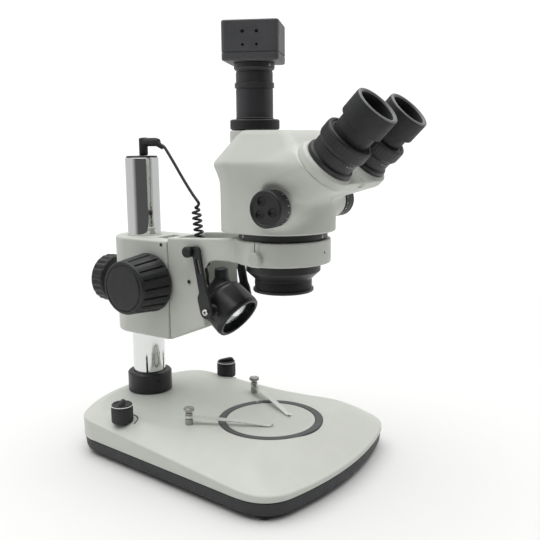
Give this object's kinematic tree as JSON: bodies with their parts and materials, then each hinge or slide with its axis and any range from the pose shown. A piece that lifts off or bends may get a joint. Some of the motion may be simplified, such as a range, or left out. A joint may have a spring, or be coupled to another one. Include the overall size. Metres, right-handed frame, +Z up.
{
  "type": "stereo microscope",
  "caption": "Trinocular stereo microscope on a pillar stand with a lit stage, rack focus arm, tilting inspection lamp, zoom head, angled eyepieces and a camera on top.",
  "frame": {"origin": "middle of the footprint, on the surface that the feet stand on", "axes": "+Z up, -Y towards the user, who looks along +Y into the eyepieces; +X to the user's right"},
  "size_m": [0.2046, 0.3333, 0.3876],
  "materials": {
    "enamel": "satin warm light grey enamel",
    "pan_grey": "matt dark grey moulding",
    "black_anodised": "satin black anodised",
    "black_plastic": "matt black moulding",
    "rubber": "soft black rubber",
    "chrome": "polished chrome plate",
    "steel": "bright machined steel",
    "grey_plastic": "light grey moulding",
    "frosted_plate": "frosted white plate",
    "glass": "coated optical glass",
    "board": "green circuit board"
  },
  "bodies": {
    "stand": {"base_shell": "enamel", "base_pan": "pan_grey", "foot_front_left": "rubber", "foot_rear_left": "rubber", "foot_front_right": "rubber", "foot_rear_right": "rubber", "power_inlet": "black_plastic", "stage_trim_ring": "pan_grey", "stage_plate": "frosted_plate", "light_board": "board", "supply_board": "board", "clip_post_left": "steel", "clip_post_right": "steel", "dimmer_pot_left": "steel", "dimmer_pot_right": "steel", "pillar_tube": "chrome", "pillar_collar": "black_anodised", "pillar_socket": "black_plastic"},
    "clip_left": {"clip_leaf_left": "steel"},
    "clip_right": {"clip_leaf_right": "steel"},
    "dimmer_left": {"dimmer_knob_left": "black_plastic"},
    "dimmer_right": {"dimmer_knob_right": "black_plastic"},
    "plug": {"dc_plug": "rubber", "cord_lead": "rubber"},
    "focus_block": {"focus_housing": "enamel", "cord_curl": "rubber"},
    "clamp": {"clamp_knob": "black_plastic"},
    "focus_drive": {"focus_pinion": "steel", "focus_knob_left": "black_plastic", "focus_knob_right": "black_plastic"},
    "arm": {"arm_bracket": "enamel", "focus_rack": "steel"},
    "ring_lock": {"ring_screw": "grey_plastic"},
    "lamp_yoke": {"lamp_leg_left": "black_anodised", "lamp_leg_right": "black_anodised"},
    "yoke_knob_left": {"lamp_yoke_screw_left": "black_plastic"},
    "yoke_knob_right": {"lamp_yoke_screw_right": "black_plastic"},
    "lamp": {"lamp_body": "black_anodised", "lamp_lens": "glass", "cord_tail": "rubber"},
    "head": {"head_body": "enamel", "mount_flange": "black_anodised", "objective_barrel": "black_anodised", "objective_lens": "glass"},
    "zoom": {"zoom_shaft": "steel", "zoom_knob_left": "black_plastic", "zoom_knob_right": "black_plastic"},
    "prism_left": {"prism_housing_left": "enamel", "eyepiece_tube_left": "black_anodised"},
    "prism_right": {"prism_housing_right": "enamel", "eyepiece_tube_right": "black_anodised"},
    "diopter_left": {"diopter_ring_left": "black_plastic"},
    "diopter_right": {"diopter_ring_right": "black_plastic"},
    "ocular_left": {"eyepiece_left": "rubber", "eye_lens_left": "glass"},
    "ocular_right": {"eyepiece_right": "rubber", "eye_lens_right": "glass"},
    "port_lock": {"port_collar": "black_anodised"},
    "camera": {"photo_tube": "black_anodised", "camera_body": "black_anodised"}
  },
  "joints": [
    {"name": "clip_left_swing", "type": "hinge", "parent": "stand", "child": "clip_left", "pos_m": [-0.0504, 0.0167, 0.0466], "axis": [0, 0, 1], "range_deg": [-35, 35]},
    {"name": "clip_right_swing", "type": "hinge", "parent": "stand", "child": "clip_right", "pos_m": [0.0504, 0.0167, 0.0466], "axis": [0, 0, 1], "range_deg": [-35, 35]},
    {"name": "dimmer_left_turn", "type": "hinge", "parent": "stand", "child": "dimmer_left", "pos_m": [-0.0775, 0.0729, 0.05], "axis": [0, 0, 1], "range_deg": [0, 270]},
    {"name": "dimmer_right_turn", "type": "hinge", "parent": "stand", "child": "dimmer_right", "pos_m": [0.0775, 0.0729, 0.05], "axis": [0, 0, 1], "range_deg": [0, 270]},
    {"name": "column_swivel", "type": "hinge", "parent": "stand", "child": "plug", "pos_m": [0, 0.1112, 0.27], "axis": [0, 0, 1], "range_deg": [-30, 30]},
    {"name": "column_height", "type": "slide", "parent": "plug", "child": "focus_block", "axis": [0, 0, 1], "range_m": [-0.03, 0.04], "deforming": ["cord_lead"]},
    {"name": "clamp_turn", "type": "hinge", "parent": "focus_block", "child": "clamp", "pos_m": [0, 0.1582, 0.1525], "axis": [0, 1, 0], "range_deg": [0, 360]},
    {"name": "focus_slide", "type": "slide", "parent": "focus_block", "child": "arm", "axis": [0, 0, 1], "range_m": [-0.02, 0.02], "deforming": ["cord_curl"]},
    {"name": "focus_turn", "type": "hinge", "parent": "focus_block", "child": "focus_drive", "pos_m": [0, 0.0782, 0.1605], "axis": [1, 0, 0], "range_deg": [-200, 200]},
    {"name": "ring_lock_turn", "type": "hinge", "parent": "arm", "child": "ring_lock", "pos_m": [-0.044, -0.053, 0.1953], "axis": [-1, 0, 0], "range_deg": [0, 360]},
    {"name": "yoke_swing", "type": "hinge", "parent": "arm", "child": "lamp_yoke", "pos_m": [0, 0.0282, 0.1935], "axis": [1, 0, 0], "range_deg": [-12, 0]},
    {"name": "yoke_knob_left_turn", "type": "hinge", "parent": "arm", "child": "yoke_knob_left", "pos_m": [-0.034, 0.0282, 0.1935], "axis": [-1, 0, 0], "range_deg": [0, 360]},
    {"name": "yoke_knob_right_turn", "type": "hinge", "parent": "arm", "child": "yoke_knob_right", "pos_m": [0.034, 0.0282, 0.1935], "axis": [1, 0, 0], "range_deg": [0, 360]},
    {"name": "lamp_tilt", "type": "hinge", "parent": "lamp_yoke", "child": "lamp", "pos_m": [0, 0.0098, 0.1406], "axis": [1, 0, 0], "range_deg": [-15, 35], "deforming": ["cord_tail"]},
    {"name": "head_turn", "type": "hinge", "parent": "arm", "child": "head", "pos_m": [0, -0.052, 0.2], "axis": [0, 0, 1], "continuous": true},
    {"name": "zoom_turn", "type": "hinge", "parent": "head", "child": "zoom", "pos_m": [0, -0.0743, 0.2383], "axis": [1, 0, 0], "range_deg": [-120, 120]},
    {"name": "prism_left_turn", "type": "hinge", "parent": "head", "child": "prism_left", "pos_m": [-0.015, -0.12553, 0.26127], "axis": [0, -0.7071, 0.7071], "range_deg": [0, 20]},
    {"name": "prism_right_turn", "type": "hinge", "parent": "head", "child": "prism_right", "pos_m": [0.015, -0.12553, 0.26127], "axis": [0, -0.7071, 0.7071], "range_deg": [-20, 0]},
    {"name": "diopter_left_turn", "type": "hinge", "parent": "prism_left", "child": "diopter_left", "pos_m": [-0.0293, -0.12765, 0.28885], "axis": [0, -0.7071, 0.7071], "range_deg": [-120, 120]},
    {"name": "ocular_left_lift", "type": "slide", "parent": "prism_left", "child": "ocular_left", "axis": [0, -0.7071, 0.7071], "range_m": [0, 0.03]},
    {"name": "diopter_right_turn", "type": "hinge", "parent": "prism_right", "child": "diopter_right", "pos_m": [0.0293, -0.12765, 0.28885], "axis": [0, -0.7071, 0.7071], "range_deg": [-120, 120]},
    {"name": "ocular_right_lift", "type": "slide", "parent": "prism_right", "child": "ocular_right", "axis": [0, -0.7071, 0.7071], "range_m": [0, 0.03]},
    {"name": "port_lock_turn", "type": "hinge", "parent": "head", "child": "port_lock", "pos_m": [0, -0.0236, 0.304], "axis": [0, 0, 1], "range_deg": [0, 60]},
    {"name": "camera_turn", "type": "hinge", "parent": "head", "child": "camera", "pos_m": [0, -0.0236, 0.33], "axis": [0, 0, 1], "continuous": true}
  ],
  "couplings": [
    {"joint": "focus_turn", "follows": "focus_slide", "rad_per_m": -166.67},
    {"joint": "prism_right_turn", "follows": "prism_left_turn", "ratio": -1}
  ]
}
